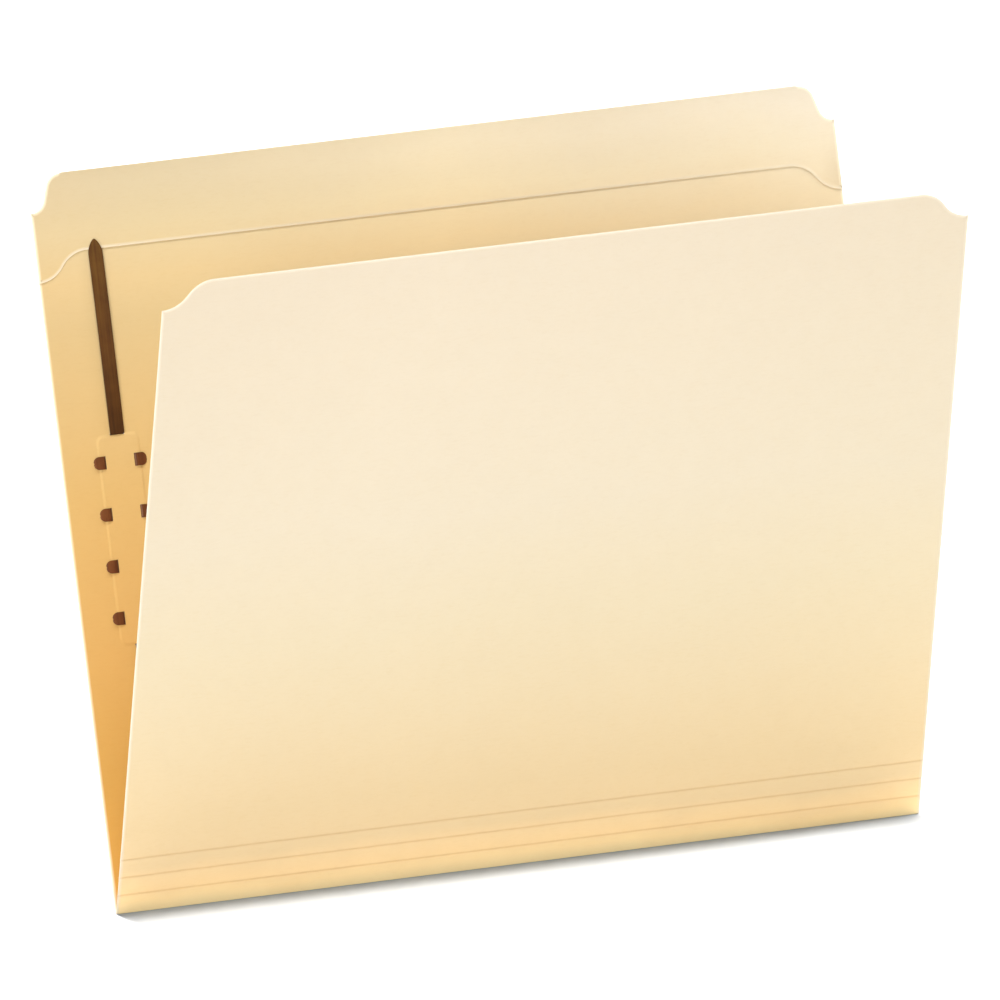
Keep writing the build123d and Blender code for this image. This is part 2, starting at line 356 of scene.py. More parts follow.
def addSheet(bm, loop, kinds, low, high, edgeRound, edgeBand, inner=(), hole=None, insideMarks=(0, 0)):
    # a flat sheet between the levels low and high, with softened cut edges and a band beside them
    loop, kinds = np.array(loop, float), np.array(kinds)
    count = len(loop)
    isCut = kinds == cut
    halfway = 0.3 * edgeRound  # middle of the rounded corner
    rings = [
        (np.zeros(count), edgeRound),
        (np.where(isCut, halfway, 0), halfway),
        (np.where(isCut, edgeRound, 0), 0.0),
        (np.where(kinds == seam, 0, edgeBand), 0.0),
    ]
    atFold = (kinds == fold) | np.roll(kinds == fold, 1)
    atCut = ((isCut | np.roll(isCut, 1)) & ~atFold).astype(float)
    points, values, inside, faces = [], [], [], []
    for level, sign, mark in ((high, -1, insideMarks[1]), (low, 1, insideMarks[0])):
        for number, (depth, drop) in enumerate(rings):
            flat = insetLoop(loop, depth)
            points += [(u, v, level + sign * drop) for u, v in flat]
            values += list(atCut if number < 3 else np.zeros(count))
            inside += [mark] * count
    lowStart = 4 * count
    for i in range(count):
        if kinds[i] == seam:
            continue
        j = (i + 1) % count
        for ring in range(3):
            a, b = ring * count, (ring + 1) * count
            faces.append((a + i, a + j, b + j, b + i))
            faces.append((lowStart + b + i, lowStart + b + j, lowStart + a + j, lowStart + a + i))
        faces.append((lowStart + i, lowStart + j, j, i))
    addFaces(bm, points, faces, values, inside)
    # the flat middle
    border = insetLoop(loop, rings[3][0])
    flat = [Vector(point) for point in border]
    edges = [(i, (i + 1) % count) for i in range(count)]
    if hole is not None:
        edges += [(len(flat) + i, len(flat) + (i + 1) % len(hole)) for i in range(len(hole))]
        flat += [Vector(point) for point in hole]
    flat += [Vector(point) for point in inner]
    spots, _, triangles, *_ = delaunay_2d_cdt(flat, edges, [], 1, 1e-5)
    if hole is not None:
        nearCorner, farCorner = np.min(hole, 0), np.max(hole, 0)
        middles = [np.mean([spots[k] for k in t], 0) for t in triangles]
        triangles = [t for t, m in zip(triangles, middles)
                     if np.any(m <= nearCorner) or np.any(m >= farCorner)]
    for level, order, mark in ((high, 1, insideMarks[1]), (low, -1, insideMarks[0])):
        addFaces(bm, [(p.x, p.y, level) for p in spots], [tuple(t)[::order] for t in triangles],
                 np.zeros(len(spots)), np.full(len(spots), mark))


def arc(centre, radius, start, end, steps):
    angles = np.radians(np.linspace(start, end, steps + 1))
    return [(centre[0] + radius * math.cos(a), centre[1] + radius * math.sin(a)) for a in angles]


def tabCurve(low):
    # from the leaf's right-hand edge up to the tab's straight edge, as two tangent arcs
    run, rise = folder["tabCurveWidth"] / 2, folder["tabCurveRise"] / 2
    radius = (run * run + rise * rise) / (2 * rise)
    sweep = math.degrees(2 * math.atan2(rise, run))
    hollow = arc((halfWidth, low + radius), radius, 270, 270 - sweep, 16)
    crown = arc((halfWidth - 2 * run, low + 2 * rise - radius), radius, 90 - sweep, 90, 16)
    return hollow + crown[1:]


def mirrored(points):
    return [(-u, v) for u, v in reversed(points)]


def roundCorner(before, corner, after, radius, steps=10):
    before, corner, after = Vector(before), Vector(corner), Vector(after)
    wayIn, wayOut = (before - corner).normalized(), (after - corner).normalized()
    half = wayIn.angle(wayOut) / 2
    reach = radius / math.tan(half)
    centre = corner + (wayIn + wayOut).normalized() * (radius / math.sin(half))
    first, last = corner + wayIn * reach - centre, corner + wayOut * reach - centre
    sweep = first.angle_signed(last)
    return [tuple(centre + Matrix.Rotation(-sweep * k / steps, 2) @ first) for k in range(steps + 1)]


def gridInside(grid, low, high):
    # loose points that keep a leaf's triangles even, clear of its sides, its foot and its tab
    side, foot, tab, step = grid
    left, right, low, high = side - halfWidth, halfWidth - side, low + foot, high - tab
    across = np.linspace(left, right, max(2, round((right - left) / step) + 1))
    up = np.linspace(low, high, max(2, round((high - low) / step) + 1))
    return [(u, v) for v in up for u in across]


# Front leaf

frontLeaf = {
    "height": 224.0,
    "low": 22.225,  # where the last score's own piece ends
    "grid": (8, 8, 6, 16),  # plain mesh: clear of the sides, foot and tab, and its step
}


def makeFrontLeaf():
    f = frontLeaf
    shoulder = f["height"] - folder["tabCurveRise"]
    right = tabCurve(shoulder)
    loop = [(-halfWidth, f["low"]), (halfWidth, f["low"])] + right + mirrored(right)
    kinds = [seam] + [cut] * (len(loop) - 1)
    bm = bmesh.new()
    inner = gridInside(f["grid"], f["low"], shoulder)
    addSheet(bm, loop, kinds, 0, card, folder["edgeRound"], folder["edgeBand"], inner, insideMarks=(1, 0))
    return finishPiece("front_leaf_card", meshFrom(bm, "front_leaf_card"), frontPlace, manilaCard)


frontCard = makeFrontLeaf()
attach(frontCard, "front_leaf")
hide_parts("front_leaf")
print("front leaf made")


# Pressed score lines: each piece runs from the middle of one strip to the middle of the next

scoreLines = {
    "pitch": 6.35,
    "count": 3,
    "depth": 0.12,
    "spread": 0.32,  # half width of the groove
    "bendReach": 0.55,  # card each side of the line that turns with the fold
    "columns": 30,
    "rows": 41,
}


def newTree(name, inputs):
    # an empty tree with named inputs, and the identifiers that a modifier needs to set them
    tree = bpy.data.node_groups.new(name, "GeometryNodeTree")
    sockets = {}
    for label, kind in inputs:
        socket = tree.interface.new_socket(label, in_out="INPUT", socket_type="NodeSocket" + kind)
        sockets[label] = socket.identifier
    tree.interface.new_socket("Geometry", in_out="OUTPUT", socket_type="NodeSocketGeometry")
    return tree, sockets


def pointPlace(tree):
    position = put(tree, "GeometryNodeInputPosition").outputs[0]
    return put(tree, "ShaderNodeSeparateXYZ", {0: position}).outputs


def unitGrid(tree, columns, rows):
    return put(tree, "GeometryNodeMeshGrid", {
        "Size X": 1.0, "Size Y": 1.0, "Vertices X": columns, "Vertices Y": rows}).outputs["Mesh"]


def markPoints(tree, geometry, name, value, **more):
    feeds = {"Geometry": geometry, "Name": name, "Value": value, **more}
    return put(tree, "GeometryNodeStoreNamedAttribute", feeds, data_type="FLOAT", domain="POINT").outputs[0]


def closeSheet(tree, sheet, raised):
    # joins a sheet's turned-over underside to its raised top and sides
    under = put(tree, "GeometryNodeFlipFaces", {"Mesh": sheet})
    both = put(tree, "GeometryNodeJoinGeometry")
    tree.links.new(under.outputs[0], both.inputs[0])
    tree.links.new(raised, both.inputs[0])
    merged = put(tree, "GeometryNodeMergeByDistance", {"Geometry": both.outputs[0], "Distance": 1e-4})
    return merged.outputs[0]


def movePoints(tree, geometry, spot):
    return put(tree, "GeometryNodeSetPosition", {"Geometry": geometry, "Position": spot}).outputs[0]


def endTree(tree, geometry, finish):
    real = put(tree, "GeometryNodeRealizeInstances", {"Geometry": geometry})
    dressed = put(tree, "GeometryNodeSetMaterial", {"Geometry": real.outputs[0], "Material": finish})
    put(tree, "NodeGroupOutput", {"Geometry": dressed.outputs[0]})


def scoreTree():
    tree, sockets = newTree("scoreBand", (
        ("Width", "Float"), ("Low", "Float"), ("High", "Float"), ("Groove Depth", "Float"),
        ("Groove Spread", "Float"), ("Card Thickness", "Float"), ("Edge Band", "Float"),
        ("Finish", "Material")))
    given = put(tree, "NodeGroupInput").outputs
    grid = unitGrid(tree, scoreLines["columns"], scoreLines["rows"])
    flat = pointPlace(tree)
    # columns crowd towards the cut ends and rows towards the score line
    share = calc(tree, "SUBTRACT", 1.0, calc(tree, "MULTIPLY", calc(tree, "ABSOLUTE", flat["X"]), 2.0))
    halfWide = calc(tree, "MULTIPLY", given["Width"], 0.5)
    fromEnd = calc(tree, "MULTIPLY", calc(tree, "POWER", share, 3.0), halfWide)
    half = calc(tree, "SUBTRACT", halfWide, fromEnd)
    u = calc(tree, "MULTIPLY", half, calc(tree, "SIGN", flat["X"]))
    signedSquare = calc(tree, "MULTIPLY", flat["Y"], calc(tree, "ABSOLUTE", flat["Y"]))
    rise = calc(tree, "MULTIPLY", signedSquare, 4.0)
    reach = calc(tree, "MULTIPLY", calc(tree, "SUBTRACT", given["High"], given["Low"]), 0.5)
    fromScore = calc(tree, "MULTIPLY", rise, reach)
    v = calc(tree, "ADD", calc(tree, "ADD", given["Low"], reach), fromScore)
    bell = calc(tree, "POWER", calc(tree, "DIVIDE", fromScore, given["Groove Spread"]), 2.0)
    groove = calc(tree, "DIVIDE", given["Groove Depth"], calc(tree, "POWER", math.e, bell))
    spot = put(tree, "ShaderNodeCombineXYZ", {"X": u, "Y": v, "Z": calc(tree, "MULTIPLY", groove, -1.0)})
    bandShare = calc(tree, "MINIMUM", calc(tree, "DIVIDE", fromEnd, given["Edge Band"]), 1.0)
    marked = markPoints(tree, grid, "cutEdge", calc(tree, "SUBTRACT", 1.0, bandShare))
    marked = markPoints(tree, marked, "pressed", calc(tree, "DIVIDE", groove, given["Groove Depth"]))
    marked = markPoints(tree, marked, "innerFace", 1.0)
    pressed = movePoints(tree, marked, spot.outputs[0])
    lift = put(tree, "ShaderNodeCombineXYZ", {"Z": given["Card Thickness"]})
    raised = put(tree, "GeometryNodeExtrudeMesh", {
        "Mesh": pressed, "Offset": lift.outputs[0], "Offset Scale": 1.0, "Individual": False}).outputs
    outer = markPoints(tree, raised["Mesh"], "innerFace", 0.0, Selection=raised["Top"])
    endTree(tree, closeSheet(tree, pressed, outer), given["Finish"])
    return tree, sockets


def meshFromTree(name, tree, sockets, values):
    # runs a node tree once and keeps its result as a plain mesh
    holder = bpy.data.objects.new(name + "_maker", bpy.data.meshes.new(name + "_maker"))
    scene.collection.objects.link(holder)
    modifier = holder.modifiers.new(name, "NODES")
    modifier.node_group = tree
    for label, value in values.items():
        modifier[sockets[label]] = value
    holder.update_tag()
    graph = bpy.context.evaluated_depsgraph_get()
    made = holder.evaluated_get(graph)
    mesh = bpy.data.meshes.new_from_object(made, preserve_all_data_layers=True, depsgraph=graph)
    holder.modifiers.remove(modifier)
    bpy.data.objects.remove(holder)
    mesh.name = name
    return mesh


def makeScoreLines():
    f = scoreLines
    tree, sockets = scoreTree()
    bodies = ["score_strip_1", "score_strip_2", "score_strip_3", "front_leaf"]
    for number in range(1, f["count"] + 1):
        line = number * f["pitch"]
        name = f"score_{number}_card"
        mesh = meshFromTree(name, tree, sockets, {
            "Width": folder["width"], "Low": line - f["pitch"] / 2, "High": line + f["pitch"] / 2,
            "Groove Depth": f["depth"], "Groove Spread": f["spread"], "Card Thickness": card,
            "Edge Band": folder["edgeBand"], "Finish": manilaCard})
        piece = finishPiece(name, mesh, frontPlace, manilaCard)
        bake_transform(piece)
        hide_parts(bodies[number - 1])


makeScoreLines()
print("score lines made:", scoreLines["count"])


# Bottom fold: each half turns from the crease into its leaf

bottomFold = {
    "frontReach": 3.175,  # card beyond the fold that belongs to each half
    "backReach": 8.0,
    "steps": 12,
    "stations": 12,  # along the fold, the first and last of them this far from its ends
    "endInset": 12,
}


def sweepAlongFold(bm, section, stations, values):
    # carries a closed section along u
    points = [(u, v, h) for u in stations for v, h in section]
    marks = np.repeat(values, len(section))
    inside = [h == 0 for _, _, h in points]
    addFaces(bm, points, tubeFaces(len(stations), len(section)), marks, inside)


def foldStations():
    band = folder["edgeBand"]
    inner = halfWidth - bottomFold["endInset"]
    inside = list(np.linspace(-inner, inner, bottomFold["stations"]))
    stations = [-halfWidth, -halfWidth + band] + inside + [halfWidth - band, halfWidth]
    return stations, [1.0, 0.0] + [0.0] * len(inside) + [0.0, 1.0]


def makeFoldHalf(name, lean, side, reach, place):
    # side is the sign of h on the card's outer face
    start = abs(lean)
    bead = [(-card * math.cos(a), side * card * math.sin(a))
            for a in np.radians(np.linspace(start, 90, bottomFold["steps"] + 1))]
    section = [(0.0, 0.0)] + bead + [(reach, side * card), (reach, 0.0)]
    stations, values = foldStations()
    bm = bmesh.new()
    sweepAlongFold(bm, section, stations, values)
    piece = finishPiece(name, meshFrom(bm, name), place, manilaCard)
    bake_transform(piece)
    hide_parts("fold_crease")


makeFoldHalf("fold_front_card", folder["frontLean"], 1, bottomFold["frontReach"], frontPlace)
makeFoldHalf("fold_back_card", folder["backLean"], -1, bottomFold["backReach"], backPlace)
print("bottom fold made")


# Back leaf with the fastener's pressed seat

toothRow = {
    "rows": 4,
    "pitch": 17.2,
    "gap": 10.5,  # between the two columns' legs
    "length": 4.3,
    "width": 4.3,
    "tipRadius": 1.7,
    "arch": 0.18,  # rise of the clinched tooth over the seat
    "crown": 0.12,  # fall of its sides from its middle
    "tipDrop": 0.20,  # fall of its tip towards the leaf
    "darkRoot": 0.22,  # share of its length that stands in the slit, painted dark there as shade
    "startPull": 1.35,  # handles of its curve, as shares of its rise and, for the last, its length
    "endPull": 1.25,
    "endBack": 0.45,
    "curveSteps": 40,
    "columns": 26,
    "strips": 11,
}

seat = {
    "width": 15.2,
    "corner": 2.5,
    "rise": 0.25,
    "slope": 0.45,  # half width of the pressed slope
    "recessSlope": 0.30,
    "regionU": 11.0,  # half size of the finely meshed patch
    "regionV": 38.0,
    "sideLines": (-0.9, -0.6, -0.3, 0, 0.3, 0.6, 0.9),  # mesh lines about the seat's sides, its ends
    "endLines": (-0.9, -0.6, 0.6, 0.9),
    "baseLines": (0.05, 0.35, 0.65),  # and the hollow for the base
    "stepU": 0.6,
    "stepV": 0.8,
}

backLeaf = {
    "height": 245.0,
    "tabHeight": 12.5,
    "notchWidth": 4.1,
    "tabSlant": 3.9,
    "notchRadius": 5.0,
    "cornerRadius": 5.6,
    "grid": (6, 8, 6, 16),
    "seatMargin": 4,  # kept free of the plain mesh round the seat's patch
}
backTop = backLeaf["height"] - card
backShoulder = backLeaf["height"] - backLeaf["tabHeight"]


def backTabRight():
    # right-hand notch and corner of the back tab, from the leaf's edge to the tab's top
    f = backLeaf
    foot = (halfWidth - f["notchWidth"], backShoulder)
    crown = (foot[0] - f["tabSlant"], backTop)
    hollow = roundCorner((halfWidth, backShoulder), foot, crown, f["notchRadius"])
    shoulder = roundCorner(foot, crown, (0, backTop), f["cornerRadius"])
    return [(halfWidth, backShoulder)] + hollow + shoulder


def toothCentres():
    first = -(toothRow["rows"] - 1) * toothRow["pitch"] / 2
    return [first + row * toothRow["pitch"] for row in range(toothRow["rows"])]


def roundedBox(du, dv, halfU, halfV, radius):
    # distance outside a rounded rectangle, negative inside
    qu, qv = np.abs(du) - halfU + radius, np.abs(dv) - halfV + radius
    outside = np.hypot(np.maximum(qu, 0), np.maximum(qv, 0))
    return outside + np.minimum(np.maximum(qu, qv), 0) - radius


def easeStep(distance, slope):
    share = np.clip(0.5 - distance / (2 * slope), 0, 1)
    return share * share * (3 - 2 * share)


def crowded(marks, end, step):
    # sorted grid lines from -end to end through all marks, with no gap wider than step
    lines = sorted({round(sign * mark, 5) for mark in list(marks) + [0, end] for sign in (-1, 1)})
    full = []
    for a, b in zip(lines, lines[1:]):
        pieces = max(1, math.ceil((b - a) / step - 1e-9))
        full += [a + (b - a) * k / pieces for k in range(pieces)]
    return np.array(full + [lines[-1]])


def seatHoles():
    # slots of the prongs and slits of the teeth, as boxes about the fastener's middle
    f, play, steel = fastener, fastener["play"], fastener["steel"]
    holes = []
    for way in (-1, 1):
        root = way * f["prongSpacing"] / 2
        near, far = root - way * (f["rootRadius"] + play), root + way * (steel / 2 + play)
        reach = f["prongWidth"] / 2 + play
        holes.append((-reach, reach, min(near, far), max(near, far)))
    for centre in toothCentres():
        for way in (-1, 1):
            near, far = way * (toothRow["gap"] / 2 - play), way * (toothRow["gap"] / 2 + steel + play)
            reach = toothRow["width"] / 2 + play
            holes.append((min(near, far), max(near, far), centre - reach, centre + reach))
    return holes


def addSeat(bm):
    # finely meshed patch with the pressed seat, its holes and the hollow for the base; gives its border
    holes = seatHoles()
    s, f, play = seat, fastener, fastener["play"]
    halfSeat = (f["prongSpacing"] - 2 * (f["rootRadius"] + play)) / 2
    marksU = [abs(hole[k]) for hole in holes for k in (0, 1)]
    marksU += [s["width"] / 2 + d for d in s["sideLines"]] + [f["baseWidth"] / 2 + d for d in s["baseLines"]]
    marksV = [abs(hole[k]) for hole in holes for k in (2, 3)]
    marksV += [halfSeat + d for d in s["endLines"]] + [f["baseLength"] / 2 + d for d in s["baseLines"]]
    us, vs = crowded(marksU, s["regionU"], s["stepU"]), crowded(marksV, s["regionV"], s["stepV"])
    gridU, gridV = np.meshgrid(us, vs, indexing="ij")
    pressed = easeStep(roundedBox(gridU, gridV, s["width"] / 2, halfSeat, s["corner"]), s["slope"])
    base = roundedBox(gridU, gridV, f["baseWidth"] / 2 + play, f["baseLength"] / 2 + play, f["baseCorner"])
    neckV = f["prongSpacing"] / 2 + f["steel"] / 2 + play
    neck = roundedBox(gridU, gridV, f["prongWidth"] / 2 + play, neckV, play)
    hollow = easeStep(np.minimum(base, neck) - s["recessSlope"], s["recessSlope"])
    top, under = s["rise"] * pressed, -card + s["rise"] * hollow
    rows, columns = len(us), len(vs)
    middleU, middleV = (us[1:] + us[:-1]) / 2, (vs[1:] + vs[:-1]) / 2
    gaps = np.zeros((rows - 1, columns - 1), bool)
    for left, right, bottom, upper in holes:
        insideU = (middleU > left) & (middleU < right)
        insideV = (middleV > bottom) & (middleV < upper)
        gaps |= insideU[:, None] & insideV[None]
    number = np.arange(rows * columns).reshape(rows, columns)
    total = rows * columns
    points = [(fastenerU + u, f["height"] + v, h) for layer in (top, under)
              for u, v, h in zip(gridU.ravel(), gridV.ravel(), layer.ravel())]
    faces = []
    for i in range(rows - 1):
        for j in range(columns - 1):
            if gaps[i, j]:
                continue
            a, b, c, d = number[i, j], number[i + 1, j], number[i + 1, j + 1], number[i, j + 1]
            faces += [(a, b, c, d), (total + d, total + c, total + b, total + a)]
            for di, dj, p, q in ((0, -1, a, b), (1, 0, b, c), (0, 1, c, d), (-1, 0, d, a)):
                ni, nj = i + di, j + dj
                if 0 <= ni < rows - 1 and 0 <= nj < columns - 1 and gaps[ni, nj]:
                    faces.append((q, p, total + p, total + q))
    addFaces(bm, points, faces, np.zeros(2 * total), np.repeat((1, 0), total))
    ring = [(u, -s["regionV"]) for u in us] + [(s["regionU"], v) for v in vs[1:]]
    ring += [(u, s["regionV"]) for u in us[::-1][1:]] + [(-s["regionU"], v) for v in vs[::-1][1:-1]]
    return [(fastenerU + u, f["height"] + v) for u, v in ring]


def makeBackLeaf():
    right = backTabRight()
    low = bottomFold["backReach"]
    loop = [(-halfWidth, low), (halfWidth, low)] + right + mirrored(right)
    kinds = [seam] + [cut] * (len(loop) - 1)
    kinds[1 + len(right)] = fold  # the tab's top, under the folded bead
    bm = bmesh.new()
    hole = addSeat(bm)
    clearU, clearV = (seat[region] + backLeaf["seatMargin"] for region in ("regionU", "regionV"))
    inner = [(u, v) for u, v in gridInside(backLeaf["grid"], low, backShoulder)
             if roundedBox(u - fastenerU, v - fastener["height"], clearU, clearV, 0) > 0]
    addSheet(bm, loop, kinds, -card, 0, folder["edgeRound"], folder["edgeBand"], inner, hole, (0, 1))
    return finishPiece("back_leaf_card", meshFrom(bm, "back_leaf_card"), backPlace, manilaCard)


backCard = makeBackLeaf()
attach(backCard, "back_leaf")
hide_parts("back_leaf")
print("back leaf made")


# Folded-over ply and the bead along the tab's top

tabPly = {
    "depth": 26.4,
    "beadSteps": 12,
    "beadRunOut": (0, 0.3, 0.7, 1.3),  # stations where the bead dies away at each end
    "beadStations": 12,  # between them, the first and last this far from the ends
    "beadInset": 12,
    "beadLift": 0.002,  # keeps the bead clear of the leaf's own top face
    "grid": (28, 6, 6, 14),
}


def makeTabPly():
    edge = backLeaf["height"] - tabPly["depth"]
    # from the straight edge down to the right-hand side
    lowRight = tabCurve(edge - folder["tabCurveRise"])[::-1]
    right = backTabRight()
    lowLeft = mirrored(lowRight)
    loop = lowLeft + lowRight + right + mirrored(right)
    kinds = [cut] * len(loop)
    kinds[len(lowLeft) + len(lowRight) + len(right) - 1] = fold
    bm = bmesh.new()
    inner = gridInside(tabPly["grid"], edge, backTop)
    addSheet(bm, loop, kinds, 0, card, folder["edgeRound"], folder["edgeBand"], inner, insideMarks=(1, 1))
    ply = finishPiece("tab_ply_card", meshFrom(bm, "tab_ply_card"), backPlace, manilaCard)
    # half-round bead that joins the ply to the leaf
    end = right[-1][0]
    straight = end - tabPly["beadInset"]
    runOut = [along - end for along in tabPly["beadRunOut"]]
    stations = runOut + list(np.linspace(-straight, straight, tabPly["beadStations"]))
    stations += [-station for station in reversed(runOut)]
    angles = np.radians(np.linspace(-90, 90, tabPly["beadSteps"] + 1))
    points, faces = [], []
    count = len(angles)
    for station in stations:
        into = min(1.0, (end - abs(station)) / tabPly["beadRunOut"][-1])
        full = math.sqrt(max(0.0, 1 - (1 - into) ** 2))  # the bead runs out where the corner begins
        points += [(station, backTop + full * card * math.cos(a) + tabPly["beadLift"], card * math.sin(a))
                   for a in angles]
    for k in range(len(stations) - 1):
        for i in range(count - 1):
            faces.append((k * count + i, k * count + i + 1, (k + 1) * count + i + 1, (k + 1) * count + i))
    bm = bmesh.new()
    # the pressed mark peaks on the bead's crown, where it paints shade over the face that meets the top lamp
    addFaces(bm, points, faces, np.zeros(len(points)), np.tile((np.sin(angles) + 1) / 2, len(stations)),
             np.tile(np.cos(angles), len(stations)))
    bead = finishPiece("tab_bead_card", meshFrom(bm, "tab_bead_card"), backPlace, manilaCard)
    for piece in (ply, bead):
        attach(piece, "back_leaf")
        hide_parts("tab_ply")


makeTabPly()
print("tab ply and bead made")


# Fastener base with its clinched teeth

def toothTree():
    tree, sockets = newTree("clinchedTeeth", (
        ("Rows", "Int"), ("Pitch", "Float"), ("Spacing", "Float"), ("Length", "Float"), ("Width", "Float"),
        ("Thickness", "Float"), ("Tip Radius", "Float"), ("Foot", "Float"), ("Seat Rise", "Float"),
        ("Arch", "Float"), ("Crown", "Float"), ("Tip Drop", "Float"), ("Finish", "Material")))
    given = put(tree, "NodeGroupInput").outputs

    def at(x, z):
        return put(tree, "ShaderNodeCombineXYZ", {"X": x, "Z": z}).outputs[0]

    # underside of a tooth: up through the slit, over the edge and down to its tip
    t = toothRow
    rise = calc(tree, "ADD", given["Seat Rise"], given["Arch"])
    endBack = calc(tree, "MULTIPLY", given["Length"], t["endBack"])
    tipHeight = calc(tree, "SUBTRACT", given["Seat Rise"], given["Tip Drop"])
    path = put(tree, "GeometryNodeCurvePrimitiveBezierSegment", {
        "Resolution": t["curveSteps"], "Start": at(0.0, given["Foot"]),
        "Start Handle": at(0.0, calc(tree, "MULTIPLY", rise, t["startPull"])),
        "End Handle": at(endBack, calc(tree, "MULTIPLY", rise, t["endPull"])),
        "End": at(given["Length"], tipHeight)}, mode="POSITION")
    grid = unitGrid(tree, t["columns"], t["strips"])
    flat = pointPlace(tree)
    factor = calc(tree, "ADD", flat["X"], 0.5)
    sample = put(tree, "GeometryNodeSampleCurve", {"Curves": path.outputs[0], "Factor": factor},
                 mode="FACTOR", use_all_curves=True)
    # the width narrows round the tip's corners
    tipShare = calc(tree, "DIVIDE", given["Tip Radius"], given["Length"])
    tipStart = calc(tree, "SUBTRACT", 1.0, tipShare)
    into = calc(tree, "DIVIDE", calc(tree, "SUBTRACT", factor, tipStart), tipShare)
    into = calc(tree, "MINIMUM", calc(tree, "MAXIMUM", into, 0.0), 1.0)
    chord = calc(tree, "SQRT", calc(tree, "SUBTRACT", 1.0, calc(tree, "MULTIPLY", into, into)))
    lost = calc(tree, "MULTIPLY", calc(tree, "SUBTRACT", 1.0, chord), given["Tip Radius"])
    across = calc(tree, "SUBTRACT", given["Width"], calc(tree, "MULTIPLY", lost, 2.0))
    # and its sides fall away from its middle once it is over the slit's edge
    square = calc(tree, "MULTIPLY", flat["Y"], flat["Y"])
    bulge = calc(tree, "MULTIPLY", square, calc(tree, "MULTIPLY", factor, -4.0))
    sideways = put(tree, "ShaderNodeCombineXYZ", {
        "Y": calc(tree, "MULTIPLY", flat["Y"], across), "Z": calc(tree, "MULTIPLY", bulge, given["Crown"])})
    spot = put(tree, "ShaderNodeVectorMath", {
        0: sample.outputs["Position"], 1: sideways.outputs[0]}, operation="ADD")
    # the tooth's root in the slit carries the cutEdge mark, which the coat paints dark as shade
    marked = markPoints(tree, grid, "cutEdge", calc(tree, "LESS_THAN", factor, t["darkRoot"]))
    bent = movePoints(tree, marked, spot.outputs[0])
    thick = put(tree, "GeometryNodeExtrudeMesh", {
        "Mesh": bent, "Offset Scale": given["Thickness"], "Individual": False})
    tooth = closeSheet(tree, bent, thick.outputs[0])
    # two facing columns
    run = calc(tree, "MULTIPLY", calc(tree, "SUBTRACT", given["Rows"], 1.0), given["Pitch"])
    posts = put(tree, "GeometryNodeMeshGrid", {
        "Size X": given["Spacing"], "Size Y": run, "Vertices X": 2, "Vertices Y": given["Rows"]})
    halfTurn = calc(tree, "MULTIPLY", calc(tree, "LESS_THAN", pointPlace(tree)["X"], 0.0), math.pi)
    turn = put(tree, "ShaderNodeCombineXYZ", {"Z": halfTurn})
    facing = put(tree, "FunctionNodeEulerToRotation", {0: turn.outputs[0]})
    teeth = put(tree, "GeometryNodeInstanceOnPoints", {
        "Points": posts.outputs["Mesh"], "Instance": tooth, "Rotation": facing.outputs[0]})
    endTree(tree, teeth.outputs[0], given["Finish"])
    return tree, sockets


def baseOutline():
    # strip with a shallow notch beside each tooth and a narrow neck at each end
    f, t = fastener, toothRow
    halfU, halfV, neckU = f["baseWidth"] / 2, f["baseLength"] / 2, f["prongWidth"] / 2
    neckV = f["prongSpacing"] / 2 + f["steel"] / 2
    tooth = t["gap"] / 2 + f["steel"]
    corner = roundCorner((halfU, 0), (halfU, halfV), (0, halfV), f["baseCorner"], 8)
    side = []
    for centre in toothCentres():
        low, high = (centre + way * (t["width"] / 2 + f["toothNotch"]) for way in (-1, 1))
        side += [(halfU, low), (tooth, low), (tooth, high), (halfU, high)]
    neck = [(neckU, halfV), (neckU, neckV), (-neckU, neckV), (-neckU, halfV)]
    upper = corner + neck + mirrored(corner)
    left = [(-u, -v) for u, v in side]
    lower = [(-u, -v) for u, v in upper]
    return side + upper + left + lower


def makeFastenerBase():
    f, t = fastener, toothRow
    bm = bmesh.new()
    loop = [(fastenerU + u, f["height"] + v) for u, v in baseOutline()]
    addSheet(bm, loop, [cut] * len(loop), -card, -card + f["steel"], *f["baseEdge"])
    mesh = meshFrom(bm, "fastener_base_steel")
    tree, sockets = toothTree()
    teeth = meshFromTree("teeth", tree, sockets, {
        "Rows": t["rows"], "Pitch": t["pitch"], "Spacing": t["gap"] + 2 * f["steel"],
        "Length": t["length"] - f["steel"], "Width": t["width"], "Thickness": f["steel"],
        "Tip Radius": t["tipRadius"], "Foot": -card + f["steel"] / 2, "Seat Rise": seat["rise"],
        "Arch": t["arch"], "Crown": t["crown"], "Tip Drop": t["tipDrop"], "Finish": fastenerCoat})
    teeth.transform(Matrix.Translation((fastenerU, f["height"], 0)))
    bm = bmesh.new()
    bm.from_mesh(mesh)
    bm.from_mesh(teeth)
    bm.to_mesh(mesh)
    bm.free()
    bpy.data.meshes.remove(teeth)
    piece = finishPiece("fastener_base_steel", mesh, backPlace, fastenerCoat)
    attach(piece, "back_leaf")
    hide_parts("fastener_base")


makeFastenerBase()
print("fastener base made with", 2 * toothRow["rows"], "teeth")


# Prongs: one bent strip each, up through the slot and along the leaf

